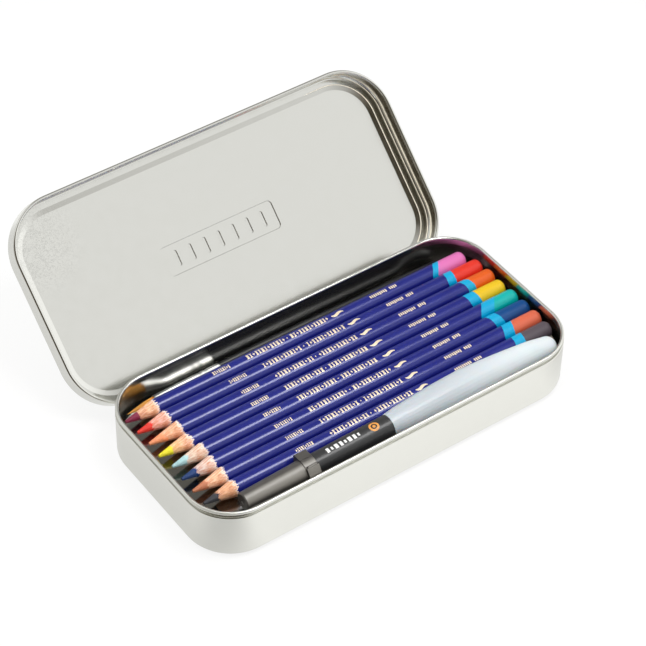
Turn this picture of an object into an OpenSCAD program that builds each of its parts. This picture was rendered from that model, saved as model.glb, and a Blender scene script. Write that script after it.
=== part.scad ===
// Hinged pencil tin with an insert tray, eight coloured pencils, a round brush and a water brush.
// The tin stands on z = 0 with its length along X; the lid lies open behind it, towards +Y.

/* [Tin body] */
// Length of the tin body along X
tin_l = 185; // [180:1:200]
// Depth of the tin body along Y
tin_w = 88.3; // [86:0.1:96]
// Corner radius of the tin body seen from above
tin_r = 21; // [18:0.5:24]
// Height of the rim above the table
rim_z = 25.3; // [24.5:0.1:30]
// Height of the ledge below the rolled rim
ledge_z = 22.6; // [21.5:0.1:22.8]
// Thickness of the tinplate
sheet_t = 0.5; // [0.4:0.05:0.6]
// Radius of the bottom edge, outside
bottom_r = 3; // [2:0.1:3.5]
// How far the neck is drawn in at the ledge
neck_in = 1.2; // [1:0.1:1.3]
// Radius of the rolled rim
curl_r = 0.78; // [0.7:0.02:0.85]

/* [Lid] */
// How far the lid's outside stands out from the body, all round
lid_over = 2.2; // [2.1:0.1:2.6]
// Height of the lid's open edge above the table when shut
lid_edge_z = 21.5; // [21:0.1:22.5]
// Height of the lid from its open edge to its top panel
lid_h = 10.4; // [10.2:0.1:14]
// Radius of the rolled hem at the open edge
hem_r = 0.8; // [0.7:0.05:0.9]
// Radius between the lid's wall and its shelf
lid_edge_r = 2.2; // [1.5:0.1:2.5]
// Width of the flat shelf round the panel, from the lid's outside
shelf_w = 4.6; // [4:0.1:6]
// Width of the sloping step from the shelf to the panel
step_w = 2.2; // [1.5:0.1:3]
// Height of that step
step_h = 0.7; // [0.4:0.1:1]
// How far the lid is turned open from shut, in degrees
open_deg = 137.4; // [110:0.1:138]

/* [Plaque on the lid] */
// Length of the raised plaque
plaque_l = 58; // [40:1:70]
// Width of the raised plaque
plaque_w = 14; // [8:0.5:16]
// Radius of the plaque's corners
plaque_r = 2.5; // [1.5:0.1:4]
// Offset of the plaque from the middle of the lid along X
plaque_x = -2.5; // [-5:0.5:5]
// Height of the plaque above the panel
plaque_h = 0.45; // [0.3:0.05:0.6]
// Number of raised bars in the plaque
bar_count = 7; // [3:1:9]
// Width of one bar
bar_w = 2.4; // [2:0.1:3]
// Height of one bar, across the plaque
bar_l = 8; // [4:0.5:9]

/* [Hinge] */
// Distance of each hinge from the middle of the tin
hinge_x = 45; // [30:1:55]
// Height of the hinge pin above the table
hinge_z = 15.7; // [15:0.1:16.5]
// Radius of the wire pin
pin_r = 0.5; // [0.45:0.01:0.55]
// Radial clearance of the pin in its knuckles
pin_fit = 0.05; // [0.03:0.01:0.1]
// Outside radius of a knuckle
knuckle_r = 1.35; // [1.3:0.05:1.4]
// Length of the lid's knuckle
lid_knuckle_l = 8; // [6:0.5:12]
// Length of each body knuckle
body_knuckle_l = 3; // [2:0.5:5]
// Radius of the pin's flattened heads
pin_head_r = 0.9; // [0.8:0.05:1]
// Thickness of the pin's heads
pin_head_t = 0.4; // [0.3:0.1:0.6]

/* [Insert tray] */
// Height of the deck that carries the pencils
deck_z = 14.5; // [14:0.1:15]
// Thickness of the tray's sheet
tray_t = 0.6; // [0.5:0.1:0.8]
// Height of the lower channel that carries the brush
channel_z = 8.8; // [8.5:0.1:9.2]
// Gap between a pencil and the wall of the brush channel
channel_gap = 0.5; // [0.4:0.1:0.6]
// Gap between the brush and the front wall of its channel
channel_room = 1.05; // [0.9:0.05:1.1]

/* [Pencils] */
// Number of pencils
pencil_count = 8; // [8:1:8]
// Diameter of a pencil
pencil_d = 7.5; // [7:0.1:7.5]
// Distance between neighbouring pencils
pencil_pitch = 7.84; // [7.8:0.01:7.9]
// Length of a new pencil
pencil_l = 175.4; // [170:0.1:176]
// Diameter of the coloured core
core_d = 3.8; // [3:0.1:4]
// Diameter of the blunt point
point_d = 1.3; // [0.8:0.1:1.6]
// Length of the sharpened cone, point included
sharpened_l = 14.6; // [13:0.1:17]
// Length of the dipped end
dip_l = 12.5; // [10:0.5:14]
// Thickness of the dipped coat
dip_t = 0.15; // [0.1:0.01:0.2]
// Radius of the dome on the dipped end
dome_r = 2.2; // [1.5:0.1:3]

/* [Brush] */
// Gap between the handle and the tin's rim behind it
brush_gap = 0.65; // [0.55:0.05:0.8]
// Largest radius of the handle
handle_r = 3.2; // [2.8:0.1:3.3]
// Distance of the bristles' tip from the tin's end
brush_end = 11; // [10.5:0.1:12.5]
// Length of the bristles that show
bristle_l = 13.5; // [10:0.5:15]
// Length of the metal ferrule
ferrule_l = 32.5; // [25:0.5:35]
// Length of the handle that shows
handle_l = 114.5; // [100:0.5:115]

/* [Water brush] */
// Distance of the cap's closed end from the tin's end
water_end = 19.2; // [18.7:0.1:19.7]
// Distance of the cap's closed end from the tin's front, at its axis
water_front = 10.15; // [9.95:0.05:10.35]
// Height of the cap's closed end above the deck, at its axis
water_rise = 5.4; // [5.2:0.1:5.7]
// Lean of the water brush, barrel end up, in degrees
water_lean = 0.87; // [0.8:0.01:0.95]
// Turn of the water brush towards the front, in degrees
water_turn = 0.37; // [0.3:0.01:0.4]
// Length of the cap
cap_l = 34; // [32:0.5:35]
// Radius of the cap at its closed end
cap_end_r = 4; // [3.6:0.1:4.1]
// Radius of the cap at its mouth
cap_mouth_r = 4.8; // [4.7:0.1:5]
// Length of the grip
grip_l = 37; // [35:0.5:37]
// Radius of the grip where it meets the cap
grip_front_r = 4.8; // [4.7:0.1:5]
// Radius of the grip where it meets the barrel
grip_back_r = 5.2; // [5:0.1:5.4]
// Length of the squeezable barrel
barrel_l = 85.7; // [80:0.1:87]
// Half of the barrel's largest width
barrel_a = 7.6; // [7:0.1:7.6]
// Half of the barrel's largest thickness
barrel_b = 5.9; // [5.5:0.1:5.9]
// Roll of the barrel's width about its axis, in degrees
barrel_roll = 40; // [35:1:45]
// Wall of the barrel, the cap and the grip
plastic_t = 0.8; // [0.6:0.1:1]

/* [Hidden] */
$fn = 96;
hull_fn = 32;
eps = 0.01;
// Working gap between pieces that slide or lie against each other
gap = 0.3;
hinge_y = tin_w / 2 - 0.55;
lid_l = tin_l + 2 * lid_over;
lid_w = tin_w + 2 * lid_over;
lid_r = tin_r + lid_over;
shelf_h = lid_h - step_h;
panel_in = shelf_w + step_w;
bore_r = pin_r + pin_fit;
rim_in = neck_in + sheet_t;
pin_l = lid_knuckle_l + 2 * (body_knuckle_l + gap) + 2 * gap;

// The tongue hangs outside the body's wall and runs onto the lid's knuckle
tongue_y = tin_w / 2 + gap;
tongue_t = hinge_y + knuckle_r - tongue_y;
// The window lets the knuckle turn and stops the tongue when the lid is open
window_up = knuckle_r + gap;
tongue_in = tongue_y + tongue_t - hinge_y;
wall_out = tin_w / 2 - hinge_y;
stop_run = (wall_out - tongue_in * cos(open_deg)) / sin(open_deg);
window_down = tongue_in * sin(open_deg) - stop_run * cos(open_deg) + gap;

pencil_r = pencil_d / 2;
pencil_z = deck_z + pencil_r + 0.05;
// Distance of each dipped end from the tin's end, and wear of each point, from the hinge side on
PENCIL_END = [6.4, 3.4, 2.8, 3.3, 2.6, 2.5, 2.5, 3.2];
PENCIL_WEAR = [2.3, 0, 0, 0, 0.7, 0, 0, 0.7];
PENCIL_COLOURS = [
    "hotpink", "red", "orange", "gold", "lightseagreen", "royalblue", "tomato", "dimgray"
];
CORE_COLOURS = [
    "maroon", "red", "sandybrown", "yellow", "lightblue", "blue", "sienna", "darkslategray"
];

tray_in = rim_in + gap + 0.2;
tray_l = tin_l - 2 * tray_in;
tray_w = tin_w - 2 * tray_in;
tray_r = tin_r - tray_in;
skirt_z = sheet_t + 2 * gap - 0.1;
brush_y = tin_w / 2 - rim_in - brush_gap - handle_r;
channel_y = brush_y - handle_r - channel_room;
pencil_back_y = channel_y - channel_gap - pencil_r;

brush_tip_x = brush_end - tin_l / 2;
brush_z = channel_z + handle_r + 0.1;
ferrule_x = brush_tip_x + bristle_l;
handle_x = ferrule_x + ferrule_l;
ferrule_front_r = 2.5;
ferrule_back_r = 3;
ferrule_t = 0.3;
tenon_r = ferrule_front_r - ferrule_t - pin_fit;
tenon_l = 8;

water_x = water_end - tin_l / 2;
water_y = water_front - tin_w / 2;
water_z = deck_z + water_rise;
grip_x = cap_l;
barrel_x = grip_x + grip_l;
feed_r = 2.2;
feed_l = 14;
hair_r = 1.2;
hair_l = 10;
neck_r = 3.6;
neck_l = 9;
tail_a = 4.5;
tail_b = 3.8;
tail_l = 4.4;
tail_drop = 0.9;
lug_l = 5.6;
lug_x = cap_l - lug_l - 0.2;
lug_w = 3.8;
lug_out = 1.9;
lug_turn = 124;
ridge_in = 4.2;
ridge_out = 7.2;
ridge_w = 7;
ridge_turn = 130;
bevel = 0.5;
dimple_r = 1;
dimple_d = 0.5;
spigot_l = 6;
cap_bore_r = cap_end_r - 0.2;

// Points of an arc, from angle a0 to a1
function arc(c, r, a0, a1, n = 6) =
    [for (i = [0:n]) [c[0] + r * cos(a0 + (a1 - a0) * i / n), c[1] + r * sin(a0 + (a1 - a0) * i / n)]];

// Plate with rounded corners, standing on z = 0
module rounded_plate(l, w, r, t) {
    translate([-l / 2 + r, -w / 2, 0]) cube([l - 2 * r, w, t]);
    translate([-l / 2, -w / 2 + r, 0]) cube([l, w - 2 * r, t]);
    for (x = [-1, 1], y = [-1, 1])
        translate([x * (l / 2 - r), y * (w / 2 - r), 0]) cylinder(r = r, h = t);
}

// Sweeps a profile round a rounded rectangle; the profile's x = 0 is the outside
module round_wall(l, w, r) {
    for (x = [0, 1], y = [0, 1])
        mirror([x, 0, 0]) mirror([0, y, 0])
            translate([l / 2 - r, w / 2 - r, 0])
                rotate_extrude(angle = 90) translate([r, 0]) children();
    for (y = [0, 1])
        mirror([0, y, 0]) translate([-l / 2 + r, w / 2, 0])
            rotate([90, 0, 90]) linear_extrude(l - 2 * r) children();
    for (x = [0, 1])
        mirror([x, 0, 0]) translate([l / 2, w / 2 - r, 0])
            rotate([90, 0, 0]) linear_extrude(w - 2 * r) children();
}

module base_profile() {
    polygon(concat(
        arc([-bottom_r, bottom_r], bottom_r, -90, 0),
        [[0, ledge_z - sheet_t / 2], [-sheet_t / 2, ledge_z], [-neck_in, ledge_z],
         [-neck_in, rim_z - curl_r], [-rim_in, rim_z - curl_r], [-rim_in, ledge_z - sheet_t],
         [-sheet_t, ledge_z - sheet_t]],
        arc([-bottom_r, bottom_r], bottom_r - sheet_t, 0, -90)
    ));
    translate([curl_r - rim_in, rim_z - curl_r]) circle(r = curl_r, $fn = 32);
}

module lid_profile() {
    translate([-hem_r, hem_r]) circle(r = hem_r, $fn = 32);
    polygon(concat(
        [[0, hem_r]],
        arc([-lid_edge_r, shelf_h - lid_edge_r], lid_edge_r, 0, 90),
        [[-shelf_w, shelf_h], [-panel_in, lid_h], [-panel_in, lid_h - sheet_t],
         [-shelf_w, shelf_h - sheet_t]],
        arc([-lid_edge_r, shelf_h - lid_edge_r], lid_edge_r - sheet_t, 90, 0),
        [[-sheet_t, hem_r]]
    ));
}

// Places what is drawn with the lid shut into the open pose
module lid_open() {
    translate([0, hinge_y, hinge_z]) rotate([-open_deg, 0, 0])
        translate([0, -hinge_y, -hinge_z]) children();
}

// A tube along X, centred on the hinge axis at x
module knuckle(x, l, r = knuckle_r) {
    translate([x - l / 2, hinge_y, hinge_z]) rotate([0, 90, 0]) cylinder(r = r, h = l, $fn = 48);
}

function body_knuckle_x(side) = side * (lid_knuckle_l / 2 + gap + body_knuckle_l / 2);

module base_shell() {
    color("gainsboro") difference() {
        union() {
            round_wall(tin_l, tin_w, tin_r) base_profile();
            rounded_plate(tin_l - 2 * bottom_r, tin_w - 2 * bottom_r, tin_r - bottom_r, sheet_t);
            for (x = [-hinge_x, hinge_x], side = [-1, 1])
                knuckle(x + body_knuckle_x(side), body_knuckle_l);
        }
        for (x = [-hinge_x, hinge_x]) {
            translate([x - lid_knuckle_l / 2 - gap, tin_w / 2 - 2 * sheet_t, hinge_z - window_down])
                cube([lid_knuckle_l + 2 * gap, 3 * sheet_t, window_down + window_up]);
            knuckle(x, pin_l, bore_r);
            for (side = [-1, 1])
                knuckle(x + side * (pin_l + pin_head_t) / 2, pin_head_t + 2 * pin_fit, pin_head_r + pin_fit);
        }
    }
}

// Plate of the plaque, shrunk all round by a margin
module plaque_plate(margin, t) {
    translate([plaque_x, 0, 0])
        rounded_plate(plaque_l - 2 * margin, plaque_w - 2 * margin, plaque_r - margin, t);
}

// Row of round-ended bars on the plaque, shrunk all round by a margin
module plaque_bars(margin, t) {
    run = plaque_l - plaque_w;
    for (i = [0:bar_count - 1])
        translate([plaque_x - run / 2 + run * i / (bar_count - 1), 0, 0])
            rounded_plate(bar_w - 2 * margin, bar_l - 2 * margin, bar_w / 2 - margin - eps, t);
}

module lid_shell() {
    top_z = lid_edge_z + lid_h;
    color("silver") lid_open() difference() {
        union() {
            translate([0, 0, lid_edge_z]) round_wall(lid_l, lid_w, lid_r) lid_profile();
            translate([0, 0, top_z - sheet_t])
                rounded_plate(lid_l - 2 * panel_in, lid_w - 2 * panel_in, lid_r - panel_in, sheet_t);
            translate([0, 0, top_z - eps]) plaque_plate(0, plaque_h + eps);
            translate([0, 0, top_z]) plaque_bars(0, 2 * plaque_h);
            for (x = [-hinge_x, hinge_x]) {
                knuckle(x, lid_knuckle_l);
                translate([x - lid_knuckle_l / 2, tongue_y, hinge_z])
                    cube([lid_knuckle_l, tongue_t, lid_edge_z + 2 * hem_r - hinge_z]);
                translate([x - lid_knuckle_l / 2, tongue_y, lid_edge_z + hem_r - sheet_t / 2])
                    cube([lid_knuckle_l, lid_over - hem_r, sheet_t]);
            }
        }
        translate([0, 0, top_z - 2 * sheet_t]) plaque_plate(sheet_t, plaque_h + sheet_t);
        translate([0, 0, top_z - 2 * sheet_t])
            plaque_bars(sheet_t, 2 * plaque_h + sheet_t);
        for (x = [-hinge_x, hinge_x]) knuckle(x, lid_knuckle_l + 2 * gap, bore_r);
    }
}

module hinge_pin(x) {
    color("darkgray") {
        knuckle(x, pin_l, pin_r);
        for (side = [-1, 1]) knuckle(x + side * (pin_l + pin_head_t) / 2, pin_head_t, pin_head_r);
    }
}

module insert_tray() {
    inner_w = channel_y - tray_t;
    back_y = tray_w / 2;
    color("lightgray") difference() {
        translate([0, 0, skirt_z]) rounded_plate(tray_l, tray_w, tray_r, deck_z - skirt_z);
        translate([0, 0, skirt_z - eps]) intersection() {
            rounded_plate(tray_l - 2 * tray_t, tray_w - 2 * tray_t, tray_r - tray_t,
                deck_z - tray_t - skirt_z + eps);
            union() {
                translate([-tray_l / 2, -tray_w / 2, 0])
                    cube([tray_l, tray_w / 2 + inner_w, deck_z]);
                translate([-tray_l / 2, 0, 0])
                    cube([tray_l, tray_w / 2, channel_z - tray_t - skirt_z + eps]);
            }
        }
        translate([-tray_l / 2 - eps, channel_y, channel_z])
            cube([tray_l + 2 * eps, back_y - channel_y + 1, deck_z]);
    }
}

function pencil_y(i) = pencil_back_y - pencil_pitch * (i - 1);
function pencil_end_x(i) = tin_l / 2 - PENCIL_END[i - 1];
function pencil_tip_x(i) = pencil_end_x(i) - pencil_l + PENCIL_WEAR[i - 1];
function dip_x(i) = pencil_end_x(i) - dip_l;

// Draws along the axis of pencil i, from x
module along_pencil(i, x) {
    translate([x, pencil_y(i), pencil_z]) rotate([0, 90, 0]) children();
}

// Radius of the sharpened cone at a distance from the point
function cone_r(d) = point_d / 2 + (pencil_r - point_d / 2) * d / sharpened_l;
core_out = sharpened_l * (core_d - point_d) / (pencil_d - point_d);

module pencil_barrel(i) {
    body_l = pencil_end_x(i) - dome_r - pencil_tip_x(i);
    color("navy") along_pencil(i, pencil_tip_x(i)) difference() {
        union() {
            translate([0, 0, core_out])
                cylinder(r1 = core_d / 2, r2 = pencil_r, h = sharpened_l - core_out);
            translate([0, 0, sharpened_l])
                cylinder(r = pencil_r, h = dip_x(i) - pencil_tip_x(i) - sharpened_l);
            translate([0, 0, sharpened_l]) cylinder(r = pencil_r - dip_t, h = body_l - sharpened_l);
        }
        translate([0, 0, -eps]) cylinder(r = core_d / 2, h = body_l + 1);
    }
}

module pencil_core(i) {
    color(CORE_COLOURS[i - 1]) along_pencil(i, pencil_tip_x(i)) {
        cylinder(r1 = point_d / 2, r2 = core_d / 2, h = core_out);
        translate([0, 0, core_out - eps])
            cylinder(r = core_d / 2 - eps,
                h = pencil_end_x(i) - dome_r - pencil_tip_x(i) - core_out);
    }
}

module pencil_dip(i) {
    wall_l = dip_l - dome_r;
    color(PENCIL_COLOURS[i - 1]) along_pencil(i, dip_x(i)) difference() {
        union() {
            cylinder(r = pencil_r, h = wall_l);
            translate([0, 0, wall_l]) rotate_extrude() polygon(concat(
                [[0, 0]],
                arc([pencil_r - dome_r, 0], dome_r, 0, 90),
                [[0, dome_r]]
            ));
        }
        translate([0, 0, -eps]) cylinder(r = pencil_r - dip_t, h = wall_l + 2 * eps);
    }
}

// Draws along the brush, from x
module along_brush(x) {
    translate([x, brush_y, brush_z]) rotate([0, 90, 0]) children();
}

module brush_bristles() {
    belly = ferrule_front_r + 0.1;
    color("darkorange") along_brush(brush_tip_x) rotate_extrude() polygon([
        [0, 0], [0.3 * belly, 0.08 * bristle_l], [0.7 * belly, 0.27 * bristle_l],
        [0.95 * belly, 0.5 * bristle_l], [belly, 0.7 * bristle_l],
        [tenon_r, bristle_l - eps], [tenon_r, bristle_l + tenon_l], [0, bristle_l + tenon_l]
    ]);
}

module brush_ferrule() {
    color("silver") along_brush(ferrule_x) difference() {
        cylinder(r1 = ferrule_front_r, r2 = ferrule_back_r, h = ferrule_l);
        translate([0, 0, -eps])
            cylinder(r = ferrule_front_r - ferrule_t, h = ferrule_l + 1);
    }
}

module brush_handle() {
    end_r = 2.2;
    color("black") along_brush(handle_x) {
        translate([0, 0, -tenon_l]) cylinder(r = tenon_r, h = tenon_l + eps);
        rotate_extrude() polygon(concat(
            [[0, 0], [ferrule_back_r, 0]],
            [[handle_r, 0.12 * handle_l], [handle_r, 0.45 * handle_l]],
            arc([0, handle_l - end_r], end_r, 0, 90)
        ));
    }
}

// Draws along the water brush, from d beyond the closed end of its cap
module along_water_brush(d) {
    translate([water_x, water_y, water_z])
        rotate([0, -water_lean, -water_turn]) rotate([0, 90, 0]) translate([0, 0, d]) children();
}

// Outline of the cap from its axis out; the clip's ring stands out near the mouth
module cap_profile() {
    ring_r = cap_mouth_r + 0.5;
    polygon([
        [0, dimple_d], [dimple_r, dimple_d], [dimple_r, 0], [cap_end_r - bevel, 0],
        [cap_end_r, bevel], [cap_mouth_r, lug_x], [ring_r, lug_x], [ring_r, lug_x + lug_l],
        [cap_mouth_r, lug_x + lug_l], [cap_mouth_r, cap_l], [cap_bore_r, cap_l],
        [cap_bore_r, cap_l / 2], [cap_end_r - plastic_t, cap_l / 2], [cap_end_r - plastic_t, 2], [0, 2]
    ]);
}

module water_brush_cap() {
    color("dimgray") along_water_brush(0) {
        rotate_extrude() cap_profile();
        rotate([0, 0, -lug_turn])
            translate([cap_mouth_r - 0.4, -lug_w / 2, lug_x + eps])
                cube([lug_out, lug_w, lug_l - 2 * eps]);
        rotate([0, 0, ridge_turn]) translate([0, 0, lug_x + eps]) linear_extrude(lug_l - 2 * eps)
            polygon([[ridge_in, -ridge_w / 2], [ridge_out, -0.4], [ridge_out, 0.4], [ridge_in, ridge_w / 2]]);
    }
}

module water_brush_bristles() {
    root = hair_l + feed_l / 2;
    color("white") along_water_brush(cap_l - feed_l - hair_l) rotate_extrude() polygon([
        [0, 0], [0.6 * hair_r, 0.2 * hair_l], [hair_r, 0.5 * hair_l], [hair_r, root], [0, root]
    ]);
}

module water_brush_feed() {
    color("whitesmoke") along_water_brush(cap_l - feed_l) difference() {
        union() {
            cylinder(r1 = 1.5 * hair_r, r2 = feed_r, h = feed_l);
            translate([0, 0, feed_l - eps]) cylinder(r = feed_r, h = grip_l - neck_l - 1);
        }
        translate([0, 0, -eps]) cylinder(r = hair_r + pin_fit, h = feed_l / 2 + 2 * eps);
    }
}

module water_brush_grip() {
    color("black") along_water_brush(grip_x) difference() {
        union() {
            cylinder(r1 = grip_front_r, r2 = grip_back_r, h = grip_l);
            translate([0, 0, -spigot_l]) cylinder(r = cap_bore_r - pin_fit, h = spigot_l + eps);
        }
        translate([0, 0, -spigot_l - 1]) cylinder(r = feed_r + pin_fit, h = grip_l);
        translate([0, 0, grip_l - neck_l]) cylinder(r = neck_r + 0.1, h = neck_l + 1);
    }
}

// Half width and half thickness of the barrel, as shares of the largest, at shares of its length
BARREL_AT = [0, 0.062, 0.148, 0.298, 0.449, 0.587, 0.726, 0.865];
BARREL_A = [0.69, 0.79, 0.855, 0.96, 1, 0.921, 0.803, 0.645];
BARREL_B = [0.88, 0.97, 1, 1, 1, 0.966, 0.881, 0.746];

module barrel_form(shrink) {
    rotate([0, 0, barrel_roll]) hull() {
        for (i = [0:len(BARREL_AT) - 1])
            translate([0, 0, BARREL_AT[i] * barrel_l + shrink])
                linear_extrude(eps)
                    scale([BARREL_B[i] * barrel_b - shrink, BARREL_A[i] * barrel_a - shrink])
                        circle(r = 1, $fn = hull_fn);
        translate([0, -tail_drop, barrel_l - tail_l])
            scale([tail_b - shrink, tail_a - shrink, tail_l - shrink]) sphere(r = 1, $fn = hull_fn);
    }
}

module water_brush_barrel() {
    color("aliceblue") along_water_brush(barrel_x) difference() {
        union() {
            barrel_form(0);
            translate([0, 0, -neck_l + gap]) cylinder(r = neck_r, h = neck_l);
        }
        barrel_form(plastic_t);
        translate([0, 0, -neck_l]) cylinder(r = neck_r - plastic_t, h = neck_l + 2);
    }
}

base_shell();
lid_shell();
hinge_pin(-hinge_x);  // hinge_pin_left
hinge_pin(hinge_x);  // hinge_pin_right
insert_tray();
for (i = [1:pencil_count]) {
    pencil_barrel(i);
    pencil_core(i);
    pencil_dip(i);
}
brush_bristles();
brush_ferrule();
brush_handle();
water_brush_cap();
water_brush_bristles();
water_brush_feed();
water_brush_grip();
water_brush_barrel();
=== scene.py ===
import math
from collections import namedtuple

import bpy
from mathutils import Matrix, Vector


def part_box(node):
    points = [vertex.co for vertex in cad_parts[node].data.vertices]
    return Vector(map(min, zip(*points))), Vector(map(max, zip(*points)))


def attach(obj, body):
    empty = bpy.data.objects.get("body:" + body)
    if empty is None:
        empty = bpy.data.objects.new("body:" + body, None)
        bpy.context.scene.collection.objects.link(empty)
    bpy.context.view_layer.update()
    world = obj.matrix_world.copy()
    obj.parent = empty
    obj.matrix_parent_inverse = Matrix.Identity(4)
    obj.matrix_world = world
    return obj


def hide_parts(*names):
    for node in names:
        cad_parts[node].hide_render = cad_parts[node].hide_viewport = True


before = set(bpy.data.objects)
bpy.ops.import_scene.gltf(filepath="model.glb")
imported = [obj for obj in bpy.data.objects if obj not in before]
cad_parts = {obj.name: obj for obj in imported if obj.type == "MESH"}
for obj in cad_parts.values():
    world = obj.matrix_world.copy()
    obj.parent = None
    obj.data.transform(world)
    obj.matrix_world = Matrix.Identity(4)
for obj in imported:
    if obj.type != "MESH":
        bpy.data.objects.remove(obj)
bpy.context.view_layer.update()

# Coloured pencil tin, lying open, with eight pencils, a brush and a water brush in it.
# X runs along the tin, from the pencils' points to their dipped ends, Y to the hinge and Z up.
# Lengths are in millimetres and angles in degrees, but where a comment says otherwise.
MM = 0.001
WHITE = (1.0, 1.0, 1.0, 1.0)
scene = bpy.context.scene
scene.view_settings.view_transform = "Standard"

# Camera: a long lens from the front left, looking down on the open tin
CAMERA_AZIMUTH, CAMERA_ELEVATION, CAMERA_ROLL = -36.3575, 44.0775, 1.248
CAMERA_TARGET, CAMERA_DISTANCE = (23.65, 46.94, 0.0), 1084.6
FOCAL_PIXELS, FRAME_PIXELS, SENSOR_WIDTH = 2503.27, 646, 36
CLIP_NEAR, CLIP_FAR = 50, 20000


def place_camera():
    azimuth, elevation, roll = (math.radians(a) for a in (CAMERA_AZIMUTH, CAMERA_ELEVATION, CAMERA_ROLL))
    flat = math.cos(elevation)
    back = Vector((math.sin(azimuth) * flat, -math.cos(azimuth) * flat, math.sin(elevation)))
    level = Vector((math.cos(azimuth), math.sin(azimuth), 0))
    upright = back.cross(level)
    right = level * math.cos(roll) + upright * math.sin(roll)
    up = upright * math.cos(roll) - level * math.sin(roll)
    data = bpy.data.cameras.new("camera")
    data.sensor_width = SENSOR_WIDTH
    data.lens = FOCAL_PIXELS * SENSOR_WIDTH / FRAME_PIXELS
    data.clip_start, data.clip_end = CLIP_NEAR * MM, CLIP_FAR * MM
    camera = bpy.data.objects.new("camera", data)
    turn = Matrix((right, up, back)).transposed().to_4x4()
    target = Vector(CAMERA_TARGET) * MM
    camera.matrix_world = Matrix.Translation(target + back * CAMERA_DISTANCE * MM) @ turn
    scene.collection.objects.link(camera)
    scene.camera = camera


place_camera()


# Colours are written as sRGB and turned to linear here
def paint(code):
    parts = [int(code[k:k + 2], 16) / 255 for k in (1, 3, 5)]
    return tuple(c / 12.92 if c <= 0.04045 else ((c + 0.055) / 1.055) ** 2.4 for c in parts) + (1.0,)


# Adds one shader node with its settings and links, and returns one output: the one that take names,
# or else the first live one
def add(tree, kind, links=None, take=None, **settings):
    node = tree.nodes.new("ShaderNode" + kind)
    for key, value in settings.items():
        setattr(node, key, value)
    for key, value in (links or {}).items():
        socket = next(s for s in node.inputs if s.enabled and key in (s.identifier, s.name))
        if isinstance(value, bpy.types.NodeSocket):
            tree.links.new(value, socket)
        else:
            socket.default_value = value
    if take:
        return node.outputs[take]
    return next((s for s in node.outputs if s.enabled), node)


def new_material(name):
    material = bpy.data.materials.new(name)
    material.use_nodes = True
    material.node_tree.nodes.clear()
    return material, material.node_tree


# Place on the object in millimetres, so that every pattern's scale is a real size
def millimetres(tree):
    place = add(tree, "TexCoord", take="Object")
    return add(tree, "VectorMath", {"Vector": place, "Scale": 1 / MM}, operation="SCALE")


# Lid: points that are given with the lid shut are turned into its open place
HINGE_Y, HINGE_Z, OPEN = 43.6, 15.7, math.radians(137.4)


def opened(x, y, z):
    y, z = y - HINGE_Y, z - HINGE_Z
    turned_y = y * math.cos(OPEN) + z * math.sin(OPEN)
    turned_z = z * math.cos(OPEN) - y * math.sin(OPEN)
    return (x, turned_y + HINGE_Y, turned_z + HINGE_Z)


# Tinplate is cold-rolled steel with a matt tin coat, drawn and rolled at the edges. It is satin on
# the outside; the drawn inner walls, where the tin was ironed smooth, take their own roughness and a
# painted shade. It shows a faint rolled grain along the sheet, pale mottling, and painted shade down in
# the folds and seams.
FOLD_SHADE_DEPTH = 0.35
STRETCH_NEAR, STRETCH_FAR, STRETCH_DEPTH = 4.0, 27.0, 0.12
PLAQUE_REACH, PLAQUE_EDGE = 34.0, 0.3
PLAQUE_MIDDLE = (-2.5, 0.0, 31.4)
# the body's rolled rim lies above this height, and this is the open lid's left corner
ROLLED_RIM_Z, LID_LEFT_CORNER = 23.6, (-81.0, 107.0, 53.0)


# Folds: painted shade makes the sheet dim down in the rolled edges and the steps
def paint_fold_shade(tree, shade):
    fold_shade = add(tree, "AmbientOcclusion", {"Distance": FOLD_SHADE_DEPTH * MM}, take="AO", samples=8)
    open_part = add(tree, "MapRange", {
        "Value": fold_shade, "From Min": 0.1, "From Max": 0.6, "To Min": 0.45, "To Max": 1.0})
    return add(tree, "VectorMath", {"Vector": shade, "Scale": open_part}, operation="SCALE")


# Stretch lines: a patch of the drawn sheet shows a fine net, about 3 mm apart, that fades outwards
def draw_stretch_lines(tree, place, shade, middle):
    away = add(tree, "VectorMath", {
        "Vector": place, "Vector_001": middle}, take="Value", operation="DISTANCE")
    patch = add(tree, "MapRange", {
        "Value": away, "From Min": STRETCH_NEAR, "From Max": STRETCH_FAR,
        "To Min": STRETCH_DEPTH, "To Max": 0.0}, interpolation_type="SMOOTHSTEP")
    net = add(tree, "TexNoise", {
        "Vector": place, "Scale": 0.55, "Detail": 4.0, "Distortion": 1.2}, take="Fac")
    ridge = add(tree, "Math", {"Value": net, "Value_001": 0.5, "Value_002": 0.035}, operation="COMPARE")
    lines = add(tree, "MapRange", {"Value": ridge, "To Min": -0.3, "To Max": 1.0})
    faded = add(tree, "Math", {"Value": lines, "Value_001": patch}, operation="MULTIPLY")
    kept = add(tree, "Math", {"Value": 1.0, "Value_001": faded}, operation="SUBTRACT")
    return add(tree, "VectorMath", {"Vector": shade, "Scale": kept}, operation="SCALE")


# Inner walls: 1 where the surface faces the middle of the tin, and 0 elsewhere
def find_inner_walls(tree, place):
    facing = add(tree, "NewGeometry", take="Normal")
    flat = add(tree, "VectorMath", {"Vector": facing, "Vector_001": (1.0, 1.0, 0.0)}, operation="MULTIPLY")
    outward = add(tree, "VectorMath", {"Vector": place, "Vector_001": (0.35, 1.0, 0.0)}, operation="MULTIPLY")
    turned = add(tree, "VectorMath", {
        "Vector": flat, "Vector_001": outward}, take="Value", operation="DOT_PRODUCT")
    return add(tree, "Math", {"Value": turned, "Value_001": -4.0}, operation="LESS_THAN")


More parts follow.
